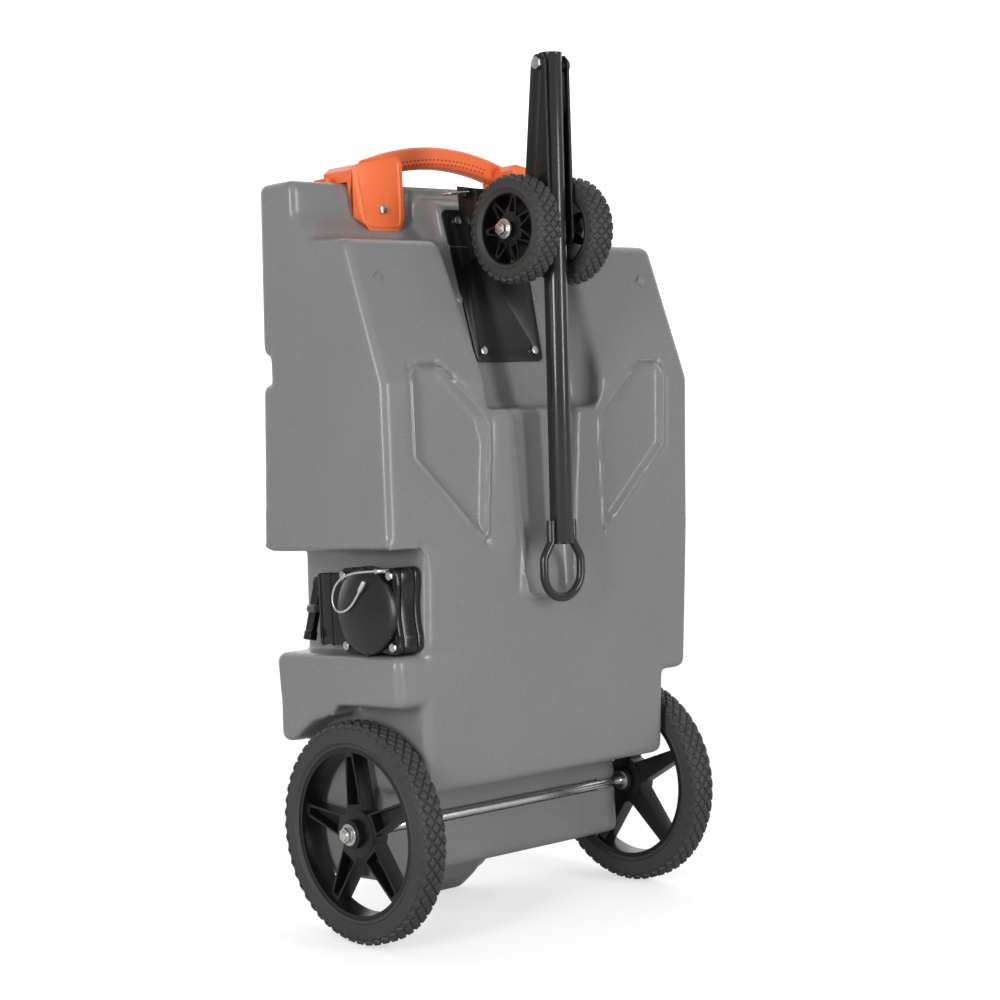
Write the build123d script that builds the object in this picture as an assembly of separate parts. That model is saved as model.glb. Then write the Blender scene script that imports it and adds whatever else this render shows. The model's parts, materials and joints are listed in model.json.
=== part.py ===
from build123d import *
import math
import os

os.makedirs("parts", exist_ok=True)

# A wheeled waste tote, standing on its two large wheels and its heel with the tow bar folded down.
# It is drawn in the tank's own frame, in millimetres: X across the tank, Y from the underside (-) to
# the deck (+), Z up the tank from the wheel axle to the carrying handle. The wheel axle is the X axis.
# At the end every piece is leaned back until the heel stands on the floor.

# --- Tank ---
lean = 4.3                  # degrees that the tank leans back when it stands
tank_half_width = 300.0
wing_half_width = 284.0     # at the lower end of the sides, above the wheels
wheel_bay_half = 236.0      # half width of the tank between the wheels
tank_top = 890.0
tank_bottom = -76.0
wall = 5.0
underside = -127.0          # Y of the underside face at its proudest
underside_low = -98.0       # Y of the same face at the ledge over the axle
ledge_z = 50.0
face_low_z = 386.0
face_high_z = 602.0
shelf_front = -63.0
shelf_z = 800.0
top_front = 44.0            # Y of the face under the carrying handle
top_block_z = 840.0
deck_y = 131.6              # Y of the deck at deck_z
deck_z = 401.0
deck_slope = 0.0428
arch_gap = 11.0             # from tyre to wheel arch
wing_bottom = 172.0
arch_rear_z = 118.0
channel_low = 566.0
channel_low_half = 107.0
channel_high_half = 128.0
floor_y = -54.0             # Y of the channel floor at floor_z
floor_z = 648.0
floor_angle = 12.0          # degrees that the channel floor leans from the tank's length
tower_half = 80.0
tower_top = 866.0
groove_half = 60.0
groove_depth = 18.0
groove_bottom = 305.0
notch_low = 615.0           # strap notch across the deck
notch_high = 654.0
notch_depth = 18.0
panel_depth = 9.0
panel_corners = [(244, 626), (196, 628), (107, 546), (118, 386), (245, 506)]
heel_flat_half = 44.0
heel_half = 66.0
heel_tall = 20.0
heel_depth = 44.0
heel_taper = 32.0           # degrees that the heel narrows towards the underside
heel_press = 4.0            # how far it is cut flat where it stands on the floor

# --- Wheels and axle ---
wheel_radius = 152.4
wheel_rim_radius = 119.5
wheel_width = 40.0
wheel_inner = 246.0         # X of the tyre's inner face
axle_radius = 6.35
running_gap = 0.05          # radial clearance of a wheel or pin that turns
fixed_gap = 0.02            # radial clearance of a bolt that is clamped
hub_radius = 20.0
caster_radius = 75.0
caster_rim_radius = 51.0
caster_width = 40.0
caster_inner = 31.0
caster_y = -136.0
caster_z = 810.0
caster_bolt_radius = 4.75

# --- Steering fork and tow bar ---
kingpin_z = 848.0
kingpin_radius = 8.0
fork_half = 24.0
fork_plate = 4.0
pivot_y = -169.0
pivot_z = 1034.0
pivot_radius = 5.0
bar_radius = 16.0
bar_wall = 2.0
bar_angle = 2.2             # degrees between the folded bar and the tank's length
bar_length = 670.0
ring_bar = 6.0
ring_half = 36.0
ring_height = 78.0
plate_thick = 3.0
plate_low_half = 64.0
plate_high_half = 76.0
plate_length = 222.0
screw_half = 50.0
screw_radius = 3.0
bracket_half = 42.0
bracket_front = -52.0
bracket_wall = 4.0
pin_radius = 4.0
pin_y = -32.0
pin_z = 872.0
pull_radius = 1.2

# --- Carrying handle ---
bracket_in = 108.0
bracket_out = 188.0
grip_y = 80.0
grip_thick = 28.0
grip_tall = 32.0
grip_apex = tank_top + 46.0
grip_end = tank_top + 23.0
flap_low = tank_top - 68.0
flap_screw_z = tank_top - 38.0
grip_reach = 130.0

# --- Waste valve ---
valve_y = -52.0
valve_z = 303.0
recess_low = valve_z - 60.0  # the recess in the left side that the valve stands in
recess_high = valve_z + 81.0
port_radius = 34.0
bolt_half = 47.5
bolt_radius = 3.2
flange_thick = 9.0
seal_thick = 1.5
body_thick = 22.0
blade_thick = 3.0
collar_thick = 7.0
collar_neck = 8.0
cap_radius = 58.0
cap_wall = 4.0
cap_dome = 5.0
handle_y = 84.0
wire_radius = 1.5
sleeve_radius = 3.0

# --- Deck fittings ---
gauge_z = 560.0
gauge_radius = 34.0
rinse_x = 150.0
rinse_z = 760.0
rinse_radius = 21.0


def prism_x(points, x_low, x_high):
    """A solid across the tank from an outline of (Y, Z) points."""
    outline = make_face(Polyline(*[(x_low, y, z) for y, z in points], close=True))
    return extrude(outline, amount=x_high - x_low, dir=(1, 0, 0))


def prism_y(points, y_low, y_high):
    """A solid through the tank's depth from an outline of (X, Z) points."""
    outline = make_face(Polyline(*[(x, y_low, z) for x, z in points], close=True))
    return extrude(outline, amount=y_high - y_low, dir=(0, 1, 0))


def block(x, y, z):
    centre = Pos((x[0] + x[1]) / 2, (y[0] + y[1]) / 2, (z[0] + z[1]) / 2)
    return centre * Box(x[1] - x[0], y[1] - y[0], z[1] - z[0])


def rod_x(radius, x_low, x_high, y, z):
    return Pos((x_low + x_high) / 2, y, z) * Rot(0, 90, 0) * Cylinder(radius, x_high - x_low)


def rod_y(radius, y_low, y_high, x, z):
    return Pos(x, (y_low + y_high) / 2, z) * Rot(90, 0, 0) * Cylinder(radius, y_high - y_low)


def hex_x(across, x_low, x_high, y, z):
    corners = RegularPolygon(across / math.sqrt(3), 6)
    return Pos(x_low, y, z) * Rot(0, 90, 0) * extrude(corners, x_high - x_low)


def mirrored(solid):
    return mirror(solid, about=Plane.YZ)


def deck_at(z):
    return deck_y + deck_slope * (deck_z - z)


def floor_at(z):
    return floor_y + (z - floor_z) * math.tan(math.radians(floor_angle))


nodes = {}

# ------------------------------------------------------------------ tank


def wheel_bay(grow):
    """The space cut from the tank for one wheel, on the +X side."""
    reach = tank_half_width + 20
    inner = wheel_bay_half - grow
    arch = rod_x(wheel_radius + arch_gap + grow, inner, reach, 0, 0)
    near = block((inner, reach), (underside - 40, 30), (tank_bottom - 90, wing_bottom + grow))
    rear = block((inner, reach), (30, deck_at(tank_bottom) + 40), (tank_bottom - 90, arch_rear_z + grow))
    return arch + near + rear


def tank_form(inset):
    """The tank's form, with every face moved inwards by inset."""
    far = 60.0
    side = [
        (0, tank_bottom),
        (0, ledge_z),
        (underside_low, ledge_z),
        (underside, face_low_z),
        (underside, face_high_z),
        (shelf_front, shelf_z),
        (top_front - 30, shelf_z + 6),
        (top_front, top_block_z),
        (top_front, tank_top),
        (deck_at(tank_top), tank_top),
        (deck_at(tank_bottom), tank_bottom),
    ]
    front = [
        (-wing_half_width, tank_bottom - 1),
        (wing_half_width, tank_bottom - 1),
        (wing_half_width, wing_bottom),
        (tank_half_width + 2, face_low_z),
        (tank_half_width, face_high_z),
        (tank_half_width - 2, tank_top + 1),
        (-tank_half_width + 2, tank_top + 1),
        (-tank_half_width, face_high_z),
        (-tank_half_width - 2, face_low_z),
        (-wing_half_width, wing_bottom),
    ]
    side_face = make_face(Polyline(*side, close=True))
    front_face = make_face(Polyline(*front, close=True))
    if inset > 0:
        side_face = offset(side_face, -inset, kind=Kind.INTERSECTION)
        front_face = offset(front_face, -inset, kind=Kind.INTERSECTION)
    across = extrude(Plane.YZ * side_face, tank_half_width + far, both=True)
    through = extrude(Plane.XZ * front_face, tank_half_width + far, both=True)
    form = across & through
    # the pad that carries the steering plate stands out in front of the upper face
    pad_side = [
        (floor_at(shelf_z - 80) + inset, shelf_z - 80),
        (floor_at(tower_top - 6) + inset, tower_top - 6 - inset),
        (top_front + 4 + inset, tower_top + 8 - inset),
        (top_front + 4 + inset, shelf_z - 80),
    ]
    cut = block(
        (-channel_high_half - far, channel_high_half + far),
        (underside - far, floor_at(channel_low) + 90),
        (channel_low - inset, shelf_z + 40),
    )
    low_half = channel_low_half + inset
    high_half = channel_high_half + inset
    channel_front = [
        (-low_half, channel_low - inset),
        (low_half, channel_low - inset),
        (high_half, shelf_z + 40),
        (-high_half, shelf_z + 40),
    ]
    floor_side = [
        (underside - far, channel_low - inset),
        (floor_at(channel_low) + inset, channel_low - inset),
        (floor_at(shelf_z + 40) + inset, shelf_z + 40),
        (underside - far, shelf_z + 40),
    ]
    channel = cut & prism_y(channel_front, underside - far, floor_at(shelf_z + 40) + 60)
    form -= channel & prism_x(floor_side, -tank_half_width, tank_half_width)
    form += prism_x(pad_side, -tower_half + inset, tower_half - inset)
    # tapering groove behind the folded tow bar
    groove_side = [
        (underside - far, channel_low + 10),
        (underside + groove_depth + inset, channel_low + 10),
        (underside + groove_depth - 1 + inset, channel_low - 20),
        (underside + 8 + inset, groove_bottom - inset),
        (underside - far, groove_bottom - inset),
    ]
    groove_front = [
        (-groove_half + 14 - inset, groove_bottom - inset),
        (groove_half - 14 + inset, groove_bottom - inset),
        (groove_half + inset, channel_low + 10),
        (-groove_half - inset, channel_low + 10),
    ]
    groove = prism_x(groove_side, -tank_half_width, tank_half_width)
    form -= groove & prism_y(groove_front, underside - far, underside + far)
    # strap notch across the deck
    notch_floor = deck_at(notch_low) - notch_depth - inset
    form -= block(
        (-tank_half_width - far, tank_half_width + far),
        (notch_floor, deck_at(notch_low) + far),
        (notch_low - inset, notch_high + inset),
    )
    # recess for the waste valve in the left side
    form -= block(
        (-tank_half_width - far, -wheel_bay_half + inset),
        (underside - far, deck_at(recess_low) + far),
        (recess_low - inset, recess_high + inset),
    )
    bay = wheel_bay(inset)
    form -= bay
    form -= mirrored(bay)
    return form


def panel_cut(side):
    """The sunken five-sided panel on one side of the underside."""
    outline = [(side * x, z) for x, z in panel_corners]
    return prism_y(outline, underside - 20, underside + panel_depth)


def heel():
    """The rounded heel at the deck side of the tank's bottom, which stands on the floor."""
    rear = deck_at(tank_bottom)
    low = -(wheel_radius - rear * math.sin(math.radians(lean))) - heel_press
    outline = [
        (-heel_flat_half, low),
        (heel_flat_half, low),
        (heel_half, low + heel_tall),
        (heel_half + 30, low + heel_tall + 7),
        (heel_half + 30, tank_bottom + 60),
        (-heel_half - 30, tank_bottom + 60),
        (-heel_half - 30, low + heel_tall + 7),
        (-heel_half, low + heel_tall),
    ]
    face = make_face(Polyline(*[(x, rear, z) for x, z in outline], close=True))
    wedge = extrude(face, amount=heel_depth, dir=(0, -1, 0), taper=heel_taper)
    side = heel_half + 60
    bound = block((-side, side), (rear - heel_depth, rear), (tank_bottom - 90, tank_bottom + 1))
    return wedge & bound


def standing(shape):
    """Lean a shape back into the pose it stands in, with the floor at Z 0."""
    return Pos(0, 0, wheel_radius) * Rot(-lean, 0, 0) * shape


def from_standing(shape):
    return Rot(lean, 0, 0) * Pos(0, 0, -wheel_radius) * shape


cavity = tank_form(wall)
for side in (-1, 1):
    outline = [(side * x, z) for x, z in panel_corners]
    grown = offset(make_face(Polyline(*outline, close=True)), wall, kind=Kind.INTERSECTION)
    cavity -= Pos(0, underside + panel_depth + wall, 0) * extrude(Plane.XZ * grown, panel_depth + 40)
axle_groove = rod_x(axle_radius + fixed_gap, -tank_half_width, tank_half_width, 0, 0)
axle_room = rod_x(axle_radius + wall, -tank_half_width, tank_half_width, 0, 0)
tank_outer = tank_form(0)
tank = tank_outer
for side in (-1, 1):
    tank -= panel_cut(side)
tank += heel()
under_floor = Box(900, 900, 200)
tank -= from_standing(Pos(0, 0, -100) * under_floor)
tank -= cavity - axle_room
tank -= axle_groove

# ports through the wall
port_wall = (-wheel_bay_half - 1, -wheel_bay_half + wall + 1)
tank -= rod_x(port_radius + 0.5, port_wall[0], port_wall[1], valve_y, valve_z)
gauge_deck = deck_at(gauge_z)
rinse_deck = deck_at(rinse_z)
deck_turn = Rot(-90 + math.degrees(math.atan(deck_slope)), 0, 0)
gauge_place = Pos(0, gauge_deck, gauge_z) * deck_turn
rinse_place = Pos(rinse_x, rinse_deck, rinse_z) * deck_turn
tank -= gauge_place * Cylinder(gauge_radius - 8, 4 * wall)
tank -= rinse_place * Cylinder(rinse_radius - 4, 4 * wall)
nodes["tank_shell"] = tank

# ------------------------------------------------------------------ wheels


def wheel_tyre(radius, rim_radius, width, x_inner, shoulder):
    crown = radius - shoulder
    points = [
        (rim_radius, 3),
        (crown, 0),
        (radius, shoulder),
        (radius, width - shoulder),
        (crown, width),
        (rim_radius, width - 3),
    ]
    section = make_face(Polyline(*[(0, r, x) for r, x in points], close=True))
    ring = revolve(section, axis=Axis.Z)
    return Pos(x_inner, 0, 0) * Rot(0, 90, 0) * ring


def wheel_rim(rim_radius, width, x_inner, hub, bore, spokes, first_angle, hub_out):
    """Moulded wheel: rim ring, hub barrel and pocketed spokes, on the +X side."""
    rim_thick = rim_radius * 0.07
    x_low = x_inner + 3
    x_high = x_inner + width - 3
    ring = rod_x(rim_radius, x_low, x_high, 0, 0) - rod_x(rim_radius - rim_thick, x_low, x_high, 0, 0)
    boss = rod_x(hub, x_inner - 2, x_inner + hub_out, 0, 0)
    root = rod_x(hub * 1.7, x_inner + 5, x_inner + width - 8, 0, 0)
    wheel = ring + boss + root
    for index in range(spokes):
        angle = first_angle + index * 360 / spokes
        reach = rim_radius - rim_thick / 2
        half_in = hub * 0.85
        half_out = hub * 0.38
        wedge = [(-half_in, hub), (half_in, hub), (half_out, reach), (-half_out, reach)]
        pocket = [
            (-half_in + 4, hub * 1.7 + 5),
            (half_in - 4, hub * 1.7 + 5),
            (half_out - 2.6, reach - rim_thick - 3),
            (-half_out + 2.6, reach - rim_thick - 3),
        ]
        spoke = prism_x(wedge, x_inner + 7, x_inner + width - 9)
        spoke -= prism_x(pocket, x_inner + 14, x_inner + width)
        wheel += Rot(angle, 0, 0) * spoke
    return wheel - rod_x(bore, x_inner - 10, x_inner + width + 20, 0, 0)


hub_end = wheel_inner + 44.0
washer = 2.5
nut_thick = 8.0
tyre = wheel_tyre(wheel_radius, wheel_rim_radius, wheel_width, wheel_inner, 9.0)
rim = wheel_rim(
    wheel_rim_radius, wheel_width, wheel_inner, hub_radius, axle_radius + running_gap, 5, -5.0, 44.0
)
nodes["right_wheel_tyre"] = tyre
nodes["right_wheel_rim"] = rim
nodes["left_wheel_tyre"] = mirrored(tyre)
nodes["left_wheel_rim"] = mirrored(rim)
axle_end = hub_end + washer + nut_thick + 1.5
nodes["wheel_axle"] = rod_x(axle_radius, -axle_end, axle_end, 0, 0)
inner_washer = rod_x(15, wheel_inner - 2 - washer, wheel_inner - 2, 0, 0)
outer_washer = rod_x(15, hub_end, hub_end + washer, 0, 0)
axle_hole = rod_x(axle_radius + fixed_gap, 0, tank_half_width + 20, 0, 0)
axle_nut = hex_x(19, hub_end + washer, hub_end + washer + nut_thick, 0, 0) - axle_hole
inner_washer -= axle_hole
outer_washer -= axle_hole
right_washers = Compound([inner_washer, outer_washer])
left_washers = mirrored(right_washers)
nodes["axle_washers"] = Compound([*right_washers.solids(), *left_washers.solids()])
nodes["axle_nuts"] = Compound([axle_nut, mirrored(axle_nut)])

# small steering wheels
caster_place = Pos(0, caster_y, caster_z)
caster_hub_out = caster_width + 1.0
caster_tyre = wheel_tyre(caster_radius, caster_rim_radius, caster_width, caster_inner, 6.0)
caster_rim = wheel_rim(
    caster_rim_radius,
    caster_width,
    caster_inner,
    11.0,
    caster_bolt_radius + running_gap,
    7,
    13.0,
    caster_hub_out,
)
nodes["right_caster_tyre"] = caster_place * caster_tyre
nodes["right_caster_rim"] = caster_place * caster_rim
nodes["left_caster_tyre"] = caster_place * mirrored(caster_tyre)
nodes["left_caster_rim"] = caster_place * mirrored(caster_rim)
caster_hub_end = caster_inner + caster_hub_out
bolt_end = caster_hub_end + washer + nut_thick + 2
caster_bolt = rod_x(caster_bolt_radius, -bolt_end, bolt_end, caster_y, caster_z)
nodes["caster_axle"] = caster_bolt
bolt_hole = rod_x(caster_bolt_radius + fixed_gap, 0, 120, caster_y, caster_z)
spacer = rod_x(9, fork_half, caster_inner - 2, caster_y, caster_z) - bolt_hole
caster_washer = rod_x(14, caster_hub_end, caster_hub_end + washer, caster_y, caster_z) - bolt_hole
nut_low = caster_hub_end + washer
caster_nut = hex_x(16, nut_low, nut_low + nut_thick, caster_y, caster_z) - bolt_hole
nodes["caster_spacers"] = Compound([spacer, mirrored(spacer)])
nodes["caster_washers"] = Compound([caster_washer, mirrored(caster_washer)])
nodes["caster_nuts"] = Compound([caster_nut, mirrored(caster_nut)])

# ------------------------------------------------------------------ steering plate and head

slope = math.radians(floor_angle)
plate_foot_z = 632.0
plate_plane = Plane(
    origin=(0, floor_at(plate_foot_z), plate_foot_z),
    x_dir=(1, 0, 0),
    z_dir=(0, -math.cos(slope), math.sin(slope)),
)
plate_outline = Polyline(
    (-plate_low_half, 0),
    (plate_low_half, 0),
    (plate_high_half, plate_length),
    (-plate_high_half, plate_length),
    close=True,
)
plate_face = make_face(plate_outline)
plate_face = fillet(plate_face.vertices(), 9)
plate = plate_plane * extrude(plate_face, plate_thick)
screw_ups = (16.0, plate_length - 16.0)
screws = []
for side in (-1, 1):
    for up in screw_ups:
        shank = Pos(side * screw_half, up, -9) * Cylinder(screw_radius, 18 + plate_thick * 2)
        head = Pos(side * screw_half, up, plate_thick + 1.7) * Cylinder(6, 3.4)
        hole = plate_plane * Pos(side * screw_half, up, 0) * Cylinder(screw_radius + 0.3, 60)
        plate -= hole
        tight = plate_plane * Pos(side * screw_half, up, -10) * Cylinder(screw_radius, 40)
        nodes["tank_shell"] -= tight
        screws.append(plate_plane * (shank + head))
nodes["plate_screws"] = Compound(screws)


def plate_front_at(z):
    return floor_at(z) - plate_thick / math.cos(slope)


head_low = 778.0
head_high = 884.0
head_back = plate_front_at(head_low)
back_line = [(plate_front_at(head_low), head_low), (plate_front_at(852), 852), (floor_at(852) - 1, 884)]
head_side = [(bracket_front, head_low), *back_line, (bracket_front, head_high - 8)]
bracket = prism_x(head_side, -bracket_half, bracket_half)
hollow = [
    (bracket_front + bracket_wall, head_low - 1),
    (60, head_low - 1),
    (60, head_high + 9),
    (bracket_front + bracket_wall, head_high + 9),
]
bracket -= prism_x(hollow, -bracket_half + bracket_wall, bracket_half - bracket_wall)
boss_end = -112.0
bracket += rod_y(20, boss_end, bracket_front + bracket_wall, 0, kingpin_z)
bracket -= rod_y(kingpin_radius + running_gap, boss_end - 20, 40, 0, kingpin_z)
for side in (-1, 1):
    bracket -= rod_x(
        pin_radius + running_gap, side * bracket_half - 8, side * bracket_half + 8, pin_y, pin_z
    )
nodes["steering_plate"] = plate
nodes["steering_head"] = bracket

# the fork that carries the small wheels and the tow bar
fork_near_low = -175.0
fork_far_low = -122.0
fork_far_high = pivot_y + 15.0
fork_near_high = pivot_y - 12.0
fork_low = 786.0
fork_top = pivot_z + 13.0
web_top = 975.0


def fork_far_at(z):
    share = (z - caster_z) / (pivot_z - caster_z)
    return fork_far_low + share * (fork_far_high - fork_far_low)


def fork_near_at(z):
    share = (z - caster_z) / (pivot_z - caster_z)
    return fork_near_low + share * (fork_near_high - fork_near_low)


fork_side = [
    (fork_near_at(fork_low) + 9, fork_low),
    (fork_far_at(fork_low) - 4, fork_low),
    (fork_far_at(fork_low + 8), fork_low + 8),
    (fork_far_at(fork_top - 8), fork_top - 8),
    (fork_far_at(fork_top) - 7, fork_top),
    (fork_near_at(fork_top) + 7, fork_top),
    (fork_near_at(fork_top - 8), fork_top - 8),
    (fork_near_at(fork_low + 9), fork_low + 9),
]
fork = prism_x(fork_side, -fork_half, fork_half)
inside = fork_half - fork_plate
fork_open = [
    (-260, fork_low - 20),
    (fork_far_at(fork_low - 20) - fork_plate, fork_low - 20),
    (fork_far_at(web_top) - fork_plate, web_top),
    (-60, web_top),
    (-60, fork_top + 20),
    (-260, fork_top + 20),
]
fork -= prism_x(fork_open, -inside, inside)
fork -= rod_x(caster_bolt_radius + fixed_gap, -60, 60, caster_y, caster_z)
fork -= rod_x(pivot_radius + fixed_gap, -60, 60, pivot_y, pivot_z)
fork -= rod_y(kingpin_radius + fixed_gap, -200, -60, 0, kingpin_z)
nodes["steering_fork"] = fork

web_face = fork_far_at(kingpin_z)
web_inner = web_face - fork_plate
washer_gap = 0.3
pin = rod_y(kingpin_radius, web_inner - 9, bracket_front + bracket_wall + 14, 0, kingpin_z)
nut_back = bracket_front + bracket_wall + washer_gap
head_nut = rod_y(13, nut_back, nut_back + 8, 0, kingpin_z)
nodes["kingpin"] = pin + head_nut
web_inside = [
    (-260, kingpin_z - 40),
    (fork_far_at(kingpin_z - 40) - fork_plate, kingpin_z - 40),
    (fork_far_at(kingpin_z + 40) - fork_plate, kingpin_z + 40),
    (-260, kingpin_z + 40),
]
kingpin_bore = rod_y(kingpin_radius + fixed_gap, -200, 0, 0, kingpin_z)
nut_front = rod_y(12.5, web_inner - 9, web_inner + 4, 0, kingpin_z) & prism_x(web_inside, -40, 40)
nodes["kingpin_nut"] = nut_front - kingpin_bore
thrust_block = rod_y(18, web_face - 3, boss_end - washer_gap, 0, kingpin_z)
wedge_keep = [
    (-260, kingpin_z - 40),
    (fork_far_at(kingpin_z - 40), kingpin_z - 40),
    (fork_far_at(kingpin_z + 40), kingpin_z + 40),
    (-260, kingpin_z + 40),
]
thrust_block -= prism_x(wedge_keep, -40, 40)
thrust_block -= kingpin_bore
nodes["thrust_washer"] = thrust_block

# hitch pin kept in the head's two side walls, with its wire pull
pin_head = [(pin_y - 7, pin_z - 6), (pin_y + 7, pin_z - 6), (pin_y + 7, pin_z + 6), (pin_y - 7, pin_z + 6)]
pin_out = bracket_half + 9
hitch_pin = rod_x(pin_radius, -pin_out, bracket_half + 4, pin_y, pin_z)
hitch_pin += prism_x(pin_head, -pin_out, -bracket_half - 1)
nodes["hitch_pin"] = hitch_pin
pull_x = -pin_out + 3
pull_path = FilletPolyline(
    (pull_x, pin_y - 7, pin_z),
    (pull_x, pin_y - 12, pin_z),
    (pull_x - 34, pin_y - 9, pin_z - 3),
    (pull_x - 34, pin_y + 9, pin_z - 3),
    (pull_x, pin_y + 12, pin_z),
    (pull_x, pin_y + 7, pin_z),
    radius=[2, 4, 4, 2],
)
pull_section = Plane(origin=pull_path @ 0, z_dir=pull_path % 0) * Circle(pull_radius)
nodes["hitch_pin_pull"] = sweep(pull_section, path=pull_path)

# ------------------------------------------------------------------ tow bar

bar_place = Pos(0, pivot_y, pivot_z) * Rot(bar_angle, 0, 0)
bar_top = 13.0
bar = Pos(0, 0, bar_top - bar_length / 2) * (
    Cylinder(bar_radius, bar_length) - Cylinder(bar_radius - bar_wall, bar_length)
)
bar -= rod_x(pivot_radius + running_gap, -40, 40, 0, 0)
nodes["tow_bar"] = bar_place * bar
cap = Pos(0, 0, bar_top + 1.5) * Cylinder(bar_radius, 3)
cap += Pos(0, 0, bar_top - 2) * Cylinder(bar_radius - bar_wall - 0.05, 5)
nodes["tow_bar_cap"] = bar_place * cap
end_plug = Pos(0, 0, bar_top - bar_length - 1.5) * Cylinder(bar_radius, 3)
end_plug += Pos(0, 0, bar_top - bar_length + 4) * Cylinder(bar_radius - bar_wall - 0.05, 9)
nodes["tow_bar_plug"] = bar_place * end_plug
leg = bar_radius + ring_bar - 1.0
ring_top = 30.0
ring_path = FilletPolyline(
    (-leg, 0, ring_top),
    (-leg, 0, 0),
    (-ring_half, 0, -22),
    (-ring_half, 0, -ring_height),
    (ring_half, 0, -ring_height),
    (ring_half, 0, -22),
    (leg, 0, 0),
    (leg, 0, ring_top),
    radius=[12, 18, ring_half - 0.5, ring_half - 0.5, 18, 12],
)
ring_section = Plane(origin=ring_path @ 0, z_dir=ring_path % 0) * Circle(ring_bar)
tow_ring = sweep(ring_section, path=ring_path)
tow_ring -= Pos(0, 0, 20) * Cylinder(bar_radius, 60)
nodes["tow_ring"] = bar_place * Pos(0, 0, bar_top - bar_length) * tow_ring
pivot_end = fork_half + 12
pivot = rod_x(pivot_radius, -fork_half, pivot_end - 2, pivot_y, pivot_z)
pivot += hex_x(15, -fork_half - 6, -fork_half, pivot_y, pivot_z)
nodes["tow_pivot_bolt"] = pivot
pivot_hole = rod_x(pivot_radius + fixed_gap, -60, 60, pivot_y, pivot_z)
nodes["tow_pivot_nut"] = hex_x(15, fork_half, fork_half + 7, pivot_y, pivot_z) - pivot_hole
pivot_spacer = rod_x(9, bar_radius + 0.4, inside - 0.2, pivot_y, pivot_z) - pivot_hole
nodes["tow_pivot_spacers"] = Compound([pivot_spacer, mirrored(pivot_spacer)])

# ------------------------------------------------------------------ carrying handle

grip_face = make_face(
    FilletPolyline(
        (-grip_thick / 2, -grip_tall / 2),
        (grip_thick / 2, -grip_tall / 2),
        (grip_thick / 2, grip_tall / 2),
        (-grip_thick / 2, grip_tall / 2),
        close=True,
        radius=9,
    )
)
grip_path = ThreePointArc(
    (-grip_reach, grip_y, grip_end), (0, grip_y, grip_apex), (grip_reach, grip_y, grip_end)
)
grip_plane = Plane(origin=grip_path @ 0, x_dir=(0, 1, 0), z_dir=grip_path % 0)
grip = sweep(grip_plane * grip_face, path=grip_path)
flap_thick = 16.0
front_flap = [
    (bracket_in, flap_low + 16),
    (bracket_in + 12, flap_low),
    (bracket_out - 14, flap_low),
    (bracket_out, flap_low + 16),
    (bracket_out + 12, tank_top + 15),
    (bracket_out, tank_top + 24),
    (bracket_in + 8, tank_top + 37),
    (bracket_in, tank_top + 28),
]
handle_bracket = prism_y(front_flap, top_front - flap_thick, top_front)
hump = [
    (bracket_in, tank_top),
    (bracket_out + 10, tank_top),
    (bracket_out + 10, tank_top + 16),
    (bracket_out, tank_top + 24),
    (bracket_in + 8, tank_top + 37),
    (bracket_in, tank_top + 28),
]
handle_bracket += prism_y(hump, top_front - 1, deck_at(tank_top) - 18)
handle_bracket += block(
    (bracket_out, bracket_out + 28), (top_front + 22, deck_at(tank_top) - 18), (tank_top, tank_top + 7)
)
handle_bracket -= grip
handle_bracket -= tank_outer
bracket_mid = (bracket_in + bracket_out) / 2
handle_screw = rod_y(3, top_front - flap_thick - 1, top_front + 22, bracket_mid, flap_screw_z)
handle_bracket -= rod_y(3.1, 0, 100, bracket_mid, flap_screw_z)
nodes["tank_shell"] -= rod_y(3, top_front - 1, top_front + 24, bracket_mid, flap_screw_z)
nodes["tank_shell"] -= mirrored(rod_y(3, top_front - 1, top_front + 24, bracket_mid, flap_screw_z))
handle_screw += rod_y(6.5, top_front - flap_thick - 4, top_front - flap_thick, bracket_mid, flap_screw_z)
nodes["handle_grip"] = grip
nodes["right_handle_bracket"] = handle_bracket
nodes["left_handle_bracket"] = mirrored(handle_bracket)
nodes["handle_screws"] = Compound([handle_screw, mirrored(handle_screw)])

# ------------------------------------------------------------------ waste valve on the left side


def valve_slab(half, x_high, thick, corner):
    plate_x = x_high - thick
    sheet = make_face(
        FilletPolyline((-half, -half), (half, -half), (half, half), (-half, half), close=True, radius=corner)
    )
    return Pos(plate_x, valve_y, valve_z) * Rot(0, 90, 0) * extrude(sheet, thick)


def valve_bores(part, radius):
    for dy in (-bolt_half, bolt_half):
        for dz in (-bolt_half, bolt_half):
            part -= rod_x(radius, -320, -200, valve_y + dy, valve_z + dz)
    return part


flow = rod_x(port_radius, -400, -100, valve_y, valve_z)
flange_half = bolt_half + 10
x_wall = -wheel_bay_half
x_flange = x_wall - flange_thick
x_seat = x_flange - seal_thick
x_body = x_seat - body_thick
x_face = x_body - seal_thick
x_collar = x_face - collar_thick
x_rim = x_collar - collar_neck
tank_flange = valve_slab(flange_half, x_wall, flange_thick, 10)
spigot = rod_x(port_radius + 0.4, x_wall - 1, x_wall + wall, valve_y, valve_z)
tank_flange = tank_flange + spigot - rod_x(port_radius - 3, -400, -100, valve_y, valve_z)
nodes["valve_tank_flange"] = valve_bores(tank_flange, bolt_radius + 0.1)
housing_end = valve_y + 118.0
body = valve_slab(flange_half, x_seat, body_thick, 10)
body += block((x_body, x_seat), (valve_y, housing_end), (valve_z - 48, valve_z + 48))
body -= flow
blade_mid = x_seat - body_thick / 2
blade_half = port_radius + 3
slot_gap = 0.4
slot = block(
    (blade_mid - blade_thick / 2 - slot_gap, blade_mid + blade_thick / 2 + slot_gap),
    (valve_y, housing_end - 4),
    (valve_z - blade_half - slot_gap, valve_z + blade_half + slot_gap),
)
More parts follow.
